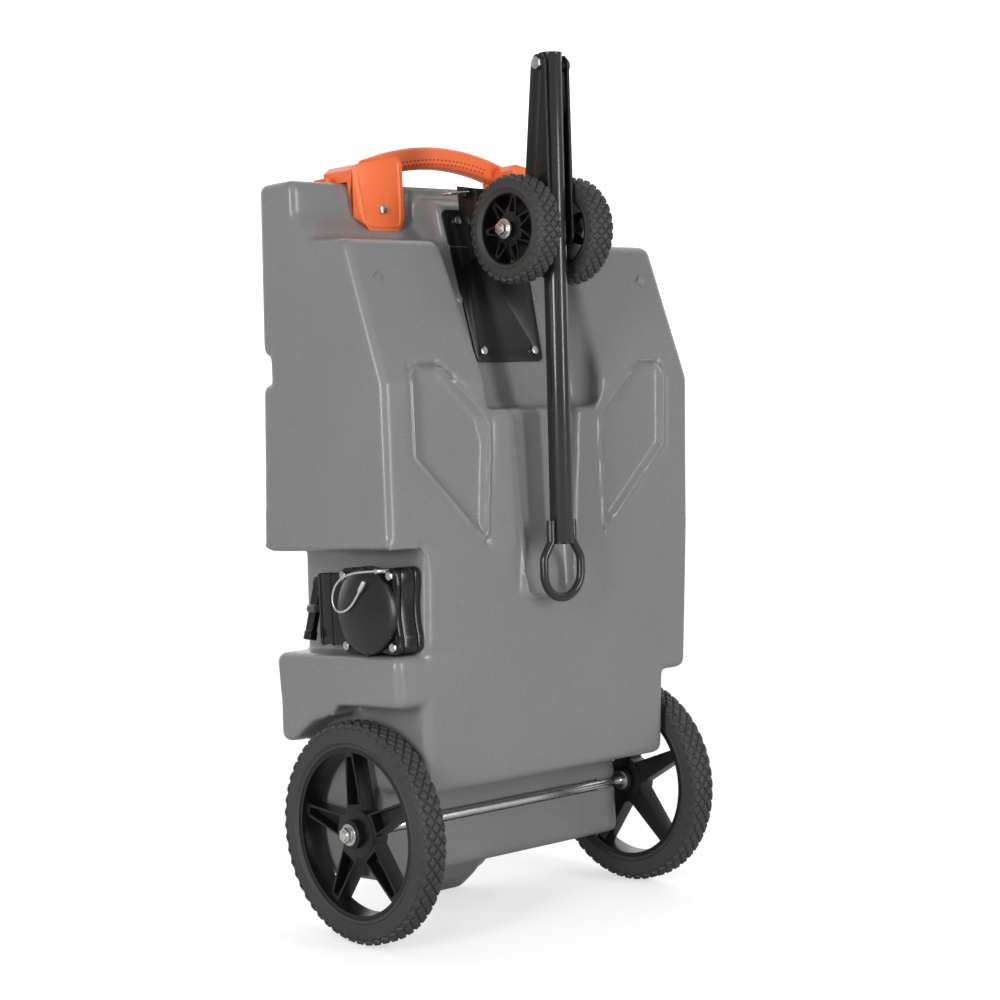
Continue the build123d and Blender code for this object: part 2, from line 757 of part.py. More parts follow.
slot += rod_x(
    blade_half + slot_gap,
    blade_mid - blade_thick / 2 - slot_gap,
    blade_mid + blade_thick / 2 + slot_gap,
    valve_y,
    valve_z,
)
body -= slot
rod_radius = 4.0
body -= rod_y(rod_radius + running_gap, valve_y + blade_half, housing_end + 5, blade_mid, valve_z)
nodes["valve_body"] = valve_bores(body, bolt_radius + 0.1)
blade = rod_x(blade_half, blade_mid - blade_thick / 2, blade_mid + blade_thick / 2, valve_y, valve_z)
blade_tail = valve_y + blade_half
blade += block(
    (blade_mid - blade_thick / 2, blade_mid + blade_thick / 2),
    (valve_y, blade_tail),
    (valve_z - blade_half, valve_z + blade_half),
)
nodes["gate_blade"] = blade
gate_rod = rod_y(rod_radius, blade_tail, handle_y + 4, blade_mid, valve_z)
nodes["gate_rod"] = gate_rod
tee_x = blade_mid - 4.0
tee_bar = Box(9, 15, 74) + Pos(0, 0, 38) * Box(12, 15, 12) + Pos(0, 0, -38) * Box(12, 15, 12)
tee = rod_y(8, housing_end + 1.0, handle_y + 4, blade_mid, valve_z)
tee += Pos(tee_x, handle_y, valve_z) * Rot(0, 16, 0) * tee_bar
tee -= rod_y(rod_radius, housing_end - 10, handle_y + 4, blade_mid, valve_z)
nodes["gate_handle"] = tee
collar = valve_slab(flange_half, x_face, collar_thick, 10)
collar += rod_x(port_radius + 9, x_rim, x_collar, valve_y, valve_z)
collar = valve_bores(collar, bolt_radius + 0.1)
collar -= flow
nodes["outlet_collar"] = collar
seal_ring = rod_x(port_radius + 12, 0, seal_thick, valve_y, valve_z)
seal_ring -= rod_x(port_radius, -1, 3, valve_y, valve_z)
nodes["valve_seals"] = Compound([Pos(x_seat, 0, 0) * seal_ring, Pos(x_face, 0, 0) * seal_ring])
bolt_tip = x_wall - 1.0
bolt_top = x_collar
bolts = []
valve_nuts = []
for dy in (-bolt_half, bolt_half):
    for dz in (-bolt_half, bolt_half):
        bolt = rod_x(bolt_radius, bolt_top - 7, bolt_tip, valve_y + dy, valve_z + dz)
        nut = hex_x(11, bolt_top - 6, bolt_top, valve_y + dy, valve_z + dz)
        nut -= rod_x(bolt_radius, -400, -100, valve_y + dy, valve_z + dz)
        bolts.append(bolt)
        valve_nuts.append(nut)
nodes["valve_bolts"] = Compound(bolts)
nodes["valve_nuts"] = Compound(valve_nuts)
seal_low = x_rim - seal_thick
cap_seal = rod_x(port_radius + 9, seal_low, x_rim, valve_y, valve_z) - flow
nodes["cap_seal"] = cap_seal
cap_front = seal_low - cap_wall
cap_gap = 0.4
outlet_cap = rod_x(cap_radius - 3, cap_front, x_collar - cap_gap, valve_y, valve_z)
outlet_cap += rod_x(cap_radius, cap_front + 3, x_collar - cap_gap - 2, valve_y, valve_z)
outlet_cap += rod_x(cap_radius - 16, cap_front - cap_dome, cap_front, valve_y, valve_z)
outlet_cap -= rod_x(port_radius + 9 + cap_gap, seal_low, x_wall, valve_y, valve_z)
for side in (-1, 1):
    outlet_cap += rod_x(4, cap_front + 4, cap_front + 9, valve_y, valve_z + side * (cap_radius - 2.5))
nodes["outlet_cap"] = outlet_cap

# steel lanyard from the collar's top corner to the cap's upper nub
lanyard_x = cap_front - cap_dome - 3.2
nodes["lanyard_anchor"] = rod_x(3.5, lanyard_x - 1, x_collar, valve_y - 42, valve_z + cap_radius - 3)
wire_route = [
    (lanyard_x, valve_y - 38.5, valve_z + cap_radius - 3.0),
    (lanyard_x, valve_y - 18.0, valve_z + cap_radius - 4.0),
    (lanyard_x, valve_y + 4.0, valve_z + cap_radius - 5.5),
    (lanyard_x, valve_y + 28.0, valve_z + cap_radius - 11.0),
    (lanyard_x, valve_y + 47.0, valve_z + 33.0),
    (lanyard_x, valve_y + 53.0, valve_z + 13.0),
    (lanyard_x, valve_y + 43.0, valve_z - 1.0),
    (lanyard_x, valve_y + 24.0, valve_z + 1.0),
    (lanyard_x, valve_y + 7.0, valve_z + 12.0),
    (lanyard_x, valve_y - 6.0, valve_z + 28.0),
]


def corner_radii(route):
    """The largest even bend at each corner of a route."""
    radii = []
    for before, here, after in zip(route, route[1:], route[2:]):
        run_in = Vector(*here) - Vector(*before)
        run_out = Vector(*after) - Vector(*here)
        turn = math.radians(run_in.get_angle(run_out))
        radii.append(0.45 * min(run_in.length, run_out.length) / math.tan(turn / 2))
    return radii


wire_radii = corner_radii(wire_route)
wire_path = FilletPolyline(*wire_route, radius=wire_radii)
wire_section = Plane(origin=wire_path @ 0, z_dir=wire_path % 0) * Circle(wire_radius)
nodes["cap_lanyard"] = sweep(wire_section, path=wire_path)
wire_length = wire_path.length
print("lanyard", round(wire_length, 1), "radii", [round(r, 1) for r in wire_radii])
print("lanyard volume ratio", nodes["cap_lanyard"].volume / (math.pi * wire_radius**2 * wire_length))
sleeve_end = wire_path % 1
sleeve_plane = Plane(origin=wire_path @ 1, z_dir=sleeve_end)
nodes["lanyard_sleeve"] = sleeve_plane * extrude(Circle(sleeve_radius), 17)

# ------------------------------------------------------------------ deck fittings

gauge = Cylinder(gauge_radius, 8, align=(Align.CENTER, Align.CENTER, Align.MIN))
gauge += Pos(0, 0, -14) * Cylinder(gauge_radius - 8.6, 14, align=(Align.CENTER, Align.CENTER, Align.MIN))
gauge -= Pos(0, 0, -15) * Cylinder(gauge_radius - 14, 40, align=(Align.CENTER, Align.CENTER, Align.MIN))
nodes["gauge_body"] = gauge_place * gauge
lens = Pos(0, 0, 8) * Cylinder(gauge_radius - 6, 4, align=(Align.CENTER, Align.CENTER, Align.MIN))
nodes["gauge_lens"] = gauge_place * lens
neck = Cylinder(rinse_radius + 8, 5, align=(Align.CENTER, Align.CENTER, Align.MIN))
neck += Cylinder(rinse_radius - 3, 18, align=(Align.CENTER, Align.CENTER, Align.MIN))
neck += Pos(0, 0, -9) * Cylinder(rinse_radius - 4.6, 10, align=(Align.CENTER, Align.CENTER, Align.MIN))
neck -= Pos(0, 0, -10) * Cylinder(rinse_radius - 8, 40, align=(Align.CENTER, Align.CENTER, Align.MIN))
nodes["rinse_neck"] = rinse_place * neck
rinse_cap = Pos(0, 0, 5.5) * Cylinder(rinse_radius + 3, 17, align=(Align.CENTER, Align.CENTER, Align.MIN))
rinse_cap -= Pos(0, 0, 5) * Cylinder(rinse_radius - 2.4, 13.4, align=(Align.CENTER, Align.CENTER, Align.MIN))
nodes["rinse_cap"] = rinse_place * rinse_cap

# ------------------------------------------------------------------ stand it up and write the files

stood = {name: standing(shape) for name, shape in nodes.items()}
everything = Compound([shape for shape in stood.values()])
box = everything.bounding_box()
shift = Pos(-(box.min.X + box.max.X) / 2, -(box.min.Y + box.max.Y) / 2, -box.min.Z)
for name, shape in stood.items():
    export_step(shift * shape, f"parts/{name}.step")
print("overall", round(box.size.X, 2), round(box.size.Y, 2), round(box.size.Z, 2))
print("shift", shift.position)
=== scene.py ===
import bpy
import json
import math
from mathutils import Matrix, Vector


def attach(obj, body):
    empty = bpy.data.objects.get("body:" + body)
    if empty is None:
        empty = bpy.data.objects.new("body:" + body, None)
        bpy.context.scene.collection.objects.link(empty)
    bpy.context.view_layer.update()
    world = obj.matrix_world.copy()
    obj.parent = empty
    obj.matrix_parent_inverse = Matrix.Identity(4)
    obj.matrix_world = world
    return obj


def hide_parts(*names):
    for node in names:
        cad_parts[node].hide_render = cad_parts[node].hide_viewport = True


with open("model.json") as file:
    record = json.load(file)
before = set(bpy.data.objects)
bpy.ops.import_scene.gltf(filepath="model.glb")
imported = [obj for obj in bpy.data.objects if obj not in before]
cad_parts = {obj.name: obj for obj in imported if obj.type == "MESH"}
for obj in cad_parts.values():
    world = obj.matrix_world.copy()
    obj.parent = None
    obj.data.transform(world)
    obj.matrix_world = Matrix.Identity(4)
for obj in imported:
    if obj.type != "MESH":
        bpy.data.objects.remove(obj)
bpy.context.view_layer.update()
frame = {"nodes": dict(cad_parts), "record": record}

# ---------------------------------------------------------------- camera
# A long lens at about the height of the tank's middle, level apart from a slight downward tilt.
# It stands three metres off the tank's underside and its left side, where the valve is.
lens = bpy.data.cameras.new("camera")
lens.lens = 81.83
lens.sensor_width = 36
camera = bpy.data.objects.new("camera", lens)
bpy.context.scene.collection.objects.link(camera)
camera.location = (-2.2323, -2.3528, 0.8460)
camera.rotation_euler = Vector((0.6880, 0.7214, -0.0789)).to_track_quat("-Z", "Y").to_euler()
bpy.context.scene.camera = camera

# ---------------------------------------------------------------- studio
# A white paper floor under a white sky, both lifted to full white for the camera only. Two tall
# soft boxes at the tank's height, left and front, draw long highlights down corners and tubes.
bpy.ops.object.select_all(action="DESELECT")
bpy.ops.mesh.primitive_plane_add(size=60, location=(0, 0, 0))
floor = bpy.context.object
floor.name = "studio_floor"
paper = bpy.data.materials.new("white_paper")
paper.use_nodes = True
paper_shader = paper.node_tree.nodes["Principled BSDF"]
paper_shader.inputs["Base Color"].default_value = (0.62, 0.62, 0.62, 1)
paper_shader.inputs["Roughness"].default_value = 0.95
paper_shader.inputs["Specular IOR Level"].default_value = 0.1
paper_shader.inputs["Emission Color"].default_value = (1, 1, 1, 1)
seen = paper.node_tree.nodes.new("ShaderNodeLightPath")
lift = paper.node_tree.nodes.new("ShaderNodeMath")
lift.operation = "MULTIPLY"
lift.inputs[1].default_value = 0.56
paper.node_tree.links.new(seen.outputs["Is Camera Ray"], lift.inputs[0])
paper.node_tree.links.new(lift.outputs["Value"], paper_shader.inputs["Emission Strength"])
floor.data.materials.append(paper)
ahead = Vector((0.690, 0.724, 0))
bpy.ops.mesh.primitive_plane_add(size=24, location=ahead * 6.5)
backdrop = bpy.context.object
backdrop.name = "studio_backdrop"
backdrop.rotation_euler = ahead.to_track_quat("Z", "Y").to_euler()
glow = bpy.data.materials.new("lit_backdrop")
glow.use_nodes = True
glow_shader = glow.node_tree.nodes["Principled BSDF"]
glow_shader.inputs["Emission Color"].default_value = (1, 1, 1, 1)
glow_shader.inputs["Emission Strength"].default_value = 1.0
backdrop.data.materials.append(glow)
world = bpy.data.worlds.new("studio")
world.use_nodes = True
sky = world.node_tree.nodes["Background"]
sky.inputs["Color"].default_value = (1, 1, 1, 1)
sight = world.node_tree.nodes.new("ShaderNodeLightPath")
strength = world.node_tree.nodes.new("ShaderNodeMapRange")
strength.inputs["To Min"].default_value = 0.42
strength.inputs["To Max"].default_value = 1.0
world.node_tree.links.new(sight.outputs["Is Camera Ray"], strength.inputs["Value"])
world.node_tree.links.new(strength.outputs["Result"], sky.inputs["Strength"])
bpy.context.scene.world = world
bpy.context.scene.view_settings.view_transform = "Standard"
for name, place, aim, width, power in [
    ("left_lamp", (-3.5, -1.3, 1.35), (0, 0, 0.65), 0.7, 84),
    ("front_lamp", (0.9, -3.6, 1.35), (0, 0, 0.65), 0.6, 60),
]:
    light = bpy.data.lights.new(name, "AREA")
    light.shape = "RECTANGLE"
    light.size = width
    light.size_y = 2.2
    light.energy = power
    lamp = bpy.data.objects.new(name, light)
    lamp.location = place
    lamp.rotation_euler = (Vector(aim) - Vector(place)).to_track_quat("-Z", "Y").to_euler()
    bpy.context.scene.collection.objects.link(lamp)

# ---------------------------------------------------------------- tank
# The blow-moulded polyethylene body, one skin with soft corners. The CAD walls are closed over at
# the ports, turned into one even skin and eased all over, as a hot parison rounds in its mould.
upright = Matrix.Translation((0, -0.021877, 0.1524)) @ Matrix.Rotation(math.radians(-4.3), 4, "X")


def pick(piece):
    """Select one piece alone and make it the active one."""
    bpy.ops.object.select_all(action="DESELECT")
    piece.select_set(True)
    bpy.context.view_layer.objects.active = piece


def opened(action="SELECT"):
    """Go into edit mode with all of the active piece selected, or none of it."""
    bpy.ops.object.mode_set(mode="EDIT")
    bpy.ops.mesh.select_all(action=action)


def closed():
    """Go back to object mode."""
    bpy.ops.object.mode_set(mode="OBJECT")


def taken(node, name):
    """A copy of a CAD part's surface, merged, stood upright on the wheel axle for working on."""
    piece = bpy.data.objects.new(name, frame["nodes"][node].data.copy())
    bpy.context.scene.collection.objects.link(piece)
    piece.data.transform(upright.inverted())
    piece.data.materials.clear()
    pick(piece)
    opened()
    bpy.ops.mesh.remove_doubles(threshold=0.00002)
    bpy.ops.mesh.normals_make_consistent(inside=False)
    closed()
    return piece


def applied(piece, kind, **values):
    """Put one modifier on a piece and apply it."""
    pick(piece)
    modifier = piece.modifiers.new("step", kind)
    for key, value in values.items():
        setattr(modifier, key, value)
    bpy.ops.object.modifier_apply(modifier="step")


def rounded(piece, width, segments=2, angle=30):
    """Round off a piece's edges that turn by more than an angle in degrees."""
    limit = math.radians(angle)
    applied(piece, "BEVEL", width=width, segments=segments, limit_method="ANGLE", angle_limit=limit)


def carved(piece, cutter, solver="EXACT"):
    """Cut one piece out of another and throw the cutter away."""
    applied(piece, "BOOLEAN", operation="DIFFERENCE", object=cutter, solver=solver)
    bpy.data.objects.remove(cutter)


def joined(pieces, name):
    """Join pieces into one mesh with its place in its vertices."""
    bpy.ops.object.select_all(action="DESELECT")
    for piece in pieces:
        piece.select_set(True)
    bpy.context.view_layer.objects.active = pieces[0]
    if len(pieces) > 1:
        bpy.ops.object.join()
    whole = bpy.context.object
    whole.name = name
    bpy.ops.object.transform_apply(location=True, rotation=True, scale=True)
    return whole


def finished(piece, body, material, nodes=(), angle=32):
    """Lean a finished piece back into place, paint it and hang it on its body."""
    pick(piece)
    if angle:
        bpy.ops.object.shade_smooth_by_angle(angle=math.radians(angle))
    else:
        bpy.ops.object.shade_smooth()
    piece.data.transform(upright)
    piece.data.materials.clear()
    piece.data.materials.append(material)
    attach(piece, body)
    if nodes:
        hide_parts(*nodes)
    return piece


def moulded(
    name, colour, roughness, grain, bump, cloudy=0.04, scuff=0.0, metallic=0.0, stretch=(1, 1, 1)
):
    """A solid material with cloudy colour, a fine surface grain and faint scuffs."""
    made = bpy.data.materials.new(name)
    made.use_nodes = True
    tree = made.node_tree
    link = tree.links.new
    shader = tree.nodes["Principled BSDF"]
    shader.inputs["Metallic"].default_value = metallic
    place = tree.nodes.new("ShaderNodeTexCoord")
    scale = tree.nodes.new("ShaderNodeMapping")
    scale.inputs["Scale"].default_value = stretch
    cloud = tree.nodes.new("ShaderNodeTexNoise")
    cloud.inputs["Scale"].default_value = 7
    cloud.inputs["Detail"].default_value = 5
    tint = tree.nodes.new("ShaderNodeMapRange")
    tint.inputs["From Min"].default_value = 0.3
    tint.inputs["From Max"].default_value = 0.7
    tint.inputs["To Min"].default_value = 1 - cloudy
    tint.inputs["To Max"].default_value = 1 + cloudy
    fine = tree.nodes.new("ShaderNodeTexNoise")
    fine.inputs["Scale"].default_value = 1 / grain
    fine.inputs["Detail"].default_value = 3
    marks = tree.nodes.new("ShaderNodeTexNoise")
    marks.inputs["Scale"].default_value = 60
    marks.inputs["Detail"].default_value = 8
    marks.inputs["Distortion"].default_value = 2.5
    worn = tree.nodes.new("ShaderNodeMapRange")
    worn.inputs["From Min"].default_value = 0.62
    worn.inputs["From Max"].default_value = 0.72
    worn.inputs["To Max"].default_value = scuff
    shade = tree.nodes.new("ShaderNodeMix")
    shade.data_type = "RGBA"
    shade.blend_type = "MULTIPLY"
    shade.inputs["Factor"].default_value = 1
    shade.inputs["A"].default_value = (*colour, 1)
    pale = tree.nodes.new("ShaderNodeMix")
    pale.data_type = "RGBA"
    pale.inputs["B"].default_value = (*[min(1, 0.05 + 1.25 * c) for c in colour], 1)
    shine = tree.nodes.new("ShaderNodeMapRange")
    shine.inputs["From Min"].default_value = 0.3
    shine.inputs["From Max"].default_value = 0.7
    shine.inputs["To Min"].default_value = roughness - 0.05
    shine.inputs["To Max"].default_value = roughness + 0.05
    dull = tree.nodes.new("ShaderNodeMath")
    relief = tree.nodes.new("ShaderNodeBump")
    relief.inputs["Strength"].default_value = bump
    relief.inputs["Distance"].default_value = grain * 0.3
    link(place.outputs["Object"], scale.inputs["Vector"])
    link(scale.outputs["Vector"], fine.inputs["Vector"])
    link(place.outputs["Object"], cloud.inputs["Vector"])
    link(scale.outputs["Vector"], marks.inputs["Vector"])
    link(cloud.outputs["Fac"], tint.inputs["Value"])
    link(tint.outputs["Result"], shade.inputs["B"])
    link(marks.outputs["Fac"], worn.inputs["Value"])
    link(worn.outputs["Result"], pale.inputs["Factor"])
    link(shade.outputs["Result"], pale.inputs["A"])
    link(pale.outputs["Result"], shader.inputs["Base Color"])
    link(fine.outputs["Fac"], shine.inputs["Value"])
    link(shine.outputs["Result"], dull.inputs[0])
    link(worn.outputs["Result"], dull.inputs[1])
    link(dull.outputs["Value"], shader.inputs["Roughness"])
    link(fine.outputs["Fac"], relief.inputs["Height"])
    link(relief.outputs["Normal"], shader.inputs["Normal"])
    return made


tank_skin = moulded(
    "grey_polyethylene", (0.200, 0.200, 0.201), 0.28, 0.0011, 0.16, cloudy=0.03, scuff=0.08
)
tank = taken("tank_shell", "tank_moulding")
opened()
bpy.ops.mesh.dissolve_limited(angle_limit=math.radians(0.5))
bpy.ops.mesh.select_all(action="DESELECT")
bpy.ops.mesh.select_mode(type="EDGE")
bpy.ops.mesh.edges_select_sharp(sharpness=math.radians(24))
closed()
for edge in tank.data.edges:
    ends = [tank.data.vertices[i].co for i in edge.vertices]
    middle = (ends[0] + ends[1]) / 2
    short = (ends[0] - ends[1]).length < 0.045
    panel = middle.y < -0.09 and 0.09 < abs(middle.x) < 0.265 and 0.365 < middle.z < 0.645
    pad = abs(middle.x) < 0.135 and -0.08 < middle.y < 0.06 and middle.z > 0.60
    low = middle.z < -0.09 or abs(middle.z) < 0.02
    if short or panel or pad or low:
        edge.select = False
bpy.ops.object.mode_set(mode="EDIT")
bpy.ops.mesh.bevel(offset=0.0115, segments=4, profile=0.5, clamp_overlap=False)
closed()
plugs = [
    ((-0.23365, -0.052, 0.303), (0, 90, 0), 0.0375),
    ((0, 0.1221, 0.560), (-87.6, 0, 0), 0.029),
    ((0.150, 0.1135, 0.760), (-87.6, 0, 0), 0.020),
    ((0.148, 0.0467, 0.852), (90, 0, 0), 0.006),
    ((-0.148, 0.0467, 0.852), (90, 0, 0), 0.006),
    ((0.050, -0.0514, 0.6471), (78, 0, 0), 0.006),
    ((-0.050, -0.0514, 0.6471), (78, 0, 0), 0.006),
    ((0.050, -0.0119, 0.8329), (78, 0, 0), 0.006),
    ((-0.050, -0.0119, 0.8329), (78, 0, 0), 0.006),
]
closers = [tank]
for place, turn, radius in plugs:
    tilt = [math.radians(a) for a in turn]
    bpy.ops.mesh.primitive_cylinder_add(
        vertices=32, radius=radius, depth=0.0045, location=place, rotation=tilt
    )
    closers.append(bpy.context.object)
tank = joined(closers, "tank_moulding")
applied(tank, "REMESH", mode="VOXEL", voxel_size=0.0036)
# The recess edges run on into the underside as fading creases, the underside is hollowed about its
# fold, the deck's corners are fuller, and the corners away from panels and pad are the softest.
creases = ((0.388, 0.115), (0.239, 0.105))
crease_depth = 0.0038
crease_width = 0.006
hollow_low, fold, hollow_high = 0.172, 0.386, 0.602
hollow_depth = 0.0095
hollow_waist = 0.02
deck_fullness = 0.007
soft = tank.vertex_groups.new(name="soft")
for point in tank.data.vertices:
    x, y, z = point.co
    if y < -0.09 and x > -0.245:
        for crease_z, far in creases:
            fade = max(0.0, 1 - (x + 0.24) / far)
            point.co.y += crease_depth * fade * math.exp(-(((z - crease_z) / crease_width) ** 2))
    if y < 0.04 and hollow_low < z < hollow_high:
        below = (z - hollow_low) / (fold - hollow_low)
        above = (hollow_high - z) / (hollow_high - fold)
        hollow = min(below, above) * min(1.0, (0.04 - y) / 0.14)
        point.co.y += hollow_depth * hollow
        point.co.x *= 1 - hollow_waist * hollow
    if y > 0.06:
        rim = min(1.0, max(0.0, (abs(x) - 0.19) / 0.09))
        point.co.y += deck_fullness * rim * rim * (3 - 2 * rim)
    near_panel = y < -0.09 and 0.095 < abs(x) < 0.262 and 0.370 < z < 0.640
    near_pad = abs(x) < 0.13 and -0.08 < y < 0.05 and z > 0.60
    near_heel = z < -0.09
    amount = 0.1 if near_panel or near_pad or near_heel else 1.0 if y > 0.03 else 0.6
    soft.add([point.index], amount, "REPLACE")
applied(tank, "SMOOTH", factor=0.5, iterations=4)
applied(tank, "SMOOTH", factor=0.5, iterations=8, vertex_group="soft")
bpy.ops.mesh.primitive_cube_add(size=1, location=(-0.022, 0.001, 0))
groove = bpy.context.object
groove.scale = (0.434, 0.0165, 0.0172)
bpy.ops.object.transform_apply(location=True, rotation=True, scale=True)
rounded(groove, 0.003, 3)
carved(tank, groove, "FAST")
applied(tank, "DECIMATE", ratio=0.6)
finished(tank, "tank", tank_skin, ["tank_shell"], angle=50)

# moulding marks: a small raised diamond at each top corner of the underside
marks = []
for side in (-1, 1):
    corner = (side * 0.255, -0.0803, 0.747)
    bpy.ops.mesh.primitive_cylinder_add(vertices=4, radius=0.0095, depth=0.0016, location=corner)
    mark = bpy.context.object
    mark.rotation_euler = (math.radians(72), 0, 0)
    opened("DESELECT")
    closed()
    mark.data.polygons[4].select = True
    bpy.ops.object.mode_set(mode="EDIT")
    bpy.ops.mesh.select_mode(type="FACE")
    bpy.ops.mesh.inset(thickness=0.0025, depth=-0.0006)
    closed()
    rounded(mark, 0.0004)
    marks.append(mark)
finished(joined(marks, "tank_marks"), "tank", tank_skin)

# ---------------------------------------------------------------- large wheels
# Semi-pneumatic rubber tyres with a diamond-block tread on moulded nylon rims. Each tyre is a spun
# profile, and its blocks are drafted diamonds stepped round the crown in staggered rows.
rubber = moulded("tyre_rubber", (0.036, 0.036, 0.0345), 0.6, 0.0006, 0.3, cloudy=0.12, scuff=0.12)
rim_nylon = moulded(
    "black_nylon", (0.004, 0.004, 0.0042), 0.33, 0.0008, 0.12, cloudy=0.2, scuff=0.03
)


def spun(name, profile, steps, centre=(0, 0, 0), gap=0.0001):
    """A shell turned about X through a centre, from a profile of (x, radius) points."""
    _, y, z = centre
    mesh = bpy.data.meshes.new(name)
    links = [(i, i + 1) for i in range(len(profile) - 1)]
    mesh.from_pydata([(x, y, z + r) for x, r in profile], links, [])
    shell = bpy.data.objects.new(name, mesh)
    bpy.context.scene.collection.objects.link(shell)
    pick(shell)
    opened()
    bpy.ops.mesh.spin(steps=steps, angle=2 * math.pi, center=centre, axis=(1, 0, 0))
    bpy.ops.mesh.select_all(action="SELECT")
    bpy.ops.mesh.remove_doubles(threshold=gap)
    bpy.ops.mesh.normals_make_consistent(inside=False)
    closed()
    return shell


def tyre(name, centre, radius, bead, width, count, block):
    """A tyre round the X axis at centre: the spun carcass and its rows of tread blocks."""
    half = width / 2
    shoulder = 0.008
    under = radius - 0.0026
    profile = [
        (-half + 0.0025, bead),
        (-half + 0.0005, bead + 0.004),
        (-half + 0.0016, bead + 0.0052),
        (-half, bead + 0.007),
        (-half + 0.0002, under - shoulder - 0.002),
        (-half + 0.0012, under - shoulder + 0.001),
        (-half + shoulder * 0.55, under - 0.0022),
        (-half + shoulder + 0.002, under),
    ]
    profile = profile + [(-x, r) for x, r in reversed(profile)]
    carcass = spun(name, profile, 120)
    long, wide = block
    inner, outermost = wide * 1.18, wide * 2.3
    rows = [(0.0, 0.0), (inner, 0.5), (-inner, 0.5), (outermost, 0.0), (-outermost, 0.0)]
    blocks = []
    for across, shift in rows:
        outer = abs(across) > wide * 2
        rise = radius - 0.0013 - (0.0028 if outer else 0)
        bpy.ops.mesh.primitive_cone_add(vertices=4, radius1=1.0, radius2=0.72, depth=1)
        lug = bpy.context.object
        lug.scale = (wide, long, 0.0032 if outer else 0.0027)
        bpy.ops.object.transform_apply(scale=True)
        rounded(lug, 0.0005, 1)
        tilt = math.radians(34) if outer else 0
        lean = Matrix.Rotation(tilt if across > 0 else -tilt, 4, "Y")
        turn = Matrix.Rotation(shift * 2 * math.pi / count, 4, "X")
        lug.data.transform(turn @ Matrix.Translation((across * 0.97, 0, rise)) @ lean)
        blocks.append(lug)
    for side in (-1, 1):
        bpy.ops.mesh.primitive_cube_add(size=1)
        lug = bpy.context.object
        lug.scale = (0.0022, long * 0.85, 0.0085)
        bpy.ops.object.transform_apply(scale=True)
        rounded(lug, 0.0005, 1)
        turn = Matrix.Rotation(0.5 * 2 * math.pi / count, 4, "X")
        lug.data.transform(turn @ Matrix.Translation((side * (half - 0.0011), 0, radius - 0.0125)))
        blocks.append(lug)
    tread = joined(blocks, name + "_tread")
    opened()
    bpy.ops.mesh.spin(
        steps=count - 1,
        dupli=True,
        angle=2 * math.pi * (count - 1) / count,
        center=(0, 0, 0),
        axis=(1, 0, 0),
    )
    closed()
    whole = joined([carcass, tread], name)
    whole.data.transform(Matrix.Translation(centre))
    return whole


def listed(node):
    """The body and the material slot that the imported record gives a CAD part."""
    record = frame["record"]
    body = next(b for b, members in record["behaviour"]["bodies"].items() if node in members)
    slot = next(s["material_slot"] for s in record["subparts"] if s["node"] == node)
    return body, slot


def eased(node, name, body, material, width=0.0007, segments=2, angle=30, weld=0.5):
    """A machined or moulded CAD part with its sharp edges rounded off."""
    piece = taken(node, name)
    opened()
    bpy.ops.mesh.dissolve_limited(angle_limit=math.radians(weld))
    closed()
    rounded(piece, width, segments, angle)
    return finished(piece, body, material, [node])


for side, name in ((-1, "left"), (1, "right")):
    body = name + "_wheel"
    made = tyre(name + "_tyre", (side * 0.266, 0, 0), 0.1523, 0.1175, 0.040, 52, (0.0088, 0.0068))
    finished(made, body, rubber, [name + "_wheel_tyre"])
    eased(name + "_wheel_rim", name + "_rim", body, rim_nylon, width=0.0012)

# ---------------------------------------------------------------- axle and its fasteners
# A plain bright steel axle lies in the tank's groove. Zinc washers sit on both sides of each hub,
# and a nut closes each end.
zinc = moulded(
    "zinc_plate", (0.66, 0.65, 0.62), 0.24, 0.0006, 0.04, cloudy=0.06, scuff=0.05, metallic=1.0
)
bright = moulded(
    "bright_steel", (0.78, 0.77, 0.75), 0.24, 0.0007, 0.01,
    cloudy=0.03, scuff=0.03, metallic=1.0, stretch=(0.05, 1, 1),
)
eased("wheel_axle", "axle", "tank", bright, width=0.0008)
eased("axle_washers", "hub_washers", "tank", zinc, width=0.0005)
eased("axle_nuts", "hub_nuts", "tank", zinc, width=0.0009)

# ---------------------------------------------------------------- steering plate, head and kingpin
# Pressed and welded steel in satin black powder coat, screwed to the pad with four zinc screws.
# The fork's kingpin runs in its sleeve, and a hitch pin with a wire pull is kept in its two cheeks.
coat = moulded(
    "black_powder_coat", (0.006, 0.006, 0.0063), 0.33, 0.0009, 0.22, cloudy=0.15, scuff=0.05
)
for node in ("steering_plate", "steering_head", "thrust_washer"):
    body, slot = listed(node)
    eased(node, node + "_coated", body, coat if "black" in slot else zinc, width=0.0009)
for node in ("plate_screws", "kingpin", "kingpin_nut", "hitch_pin", "hitch_pin_pull"):
    body, slot = listed(node)
    eased(node, node + "_plated", body, coat if "black" in slot else zinc, width=0.0007)

# ---------------------------------------------------------------- steering fork
# Two tapering steel plates joined by a web, powder coated like the plate. The fork turns on the
# kingpin and carries the small wheels' axle and the tow bar's pivot bolt.
eased("steering_fork", "fork_weldment", "fork", coat, width=0.0012)
caster_fittings = ("caster_axle", "caster_spacers", "caster_washers", "caster_nuts")
for node in (*caster_fittings, "tow_pivot_bolt", "tow_pivot_nut", "tow_pivot_spacers"):
    body, slot = listed(node)
    eased(node, node + "_plated", body, coat if "black" in slot else zinc, width=0.0006)

# ---------------------------------------------------------------- small wheels
# The same make as the large wheels at half the size: seven double-ribbed spokes and a treaded tyre.
for side, name in ((-1, "left"), (1, "right")):
    hub = (side * 0.051, -0.136, 0.810)
    body = name + "_caster"
    made = tyre(name + "_small_tyre", hub, 0.0749, 0.0493, 0.040, 32, (0.0068, 0.0068))
    finished(made, body, rubber, [name + "_caster_tyre"])
    eased(name + "_caster_rim", name + "_small_rim", body, rim_nylon, width=0.0007)

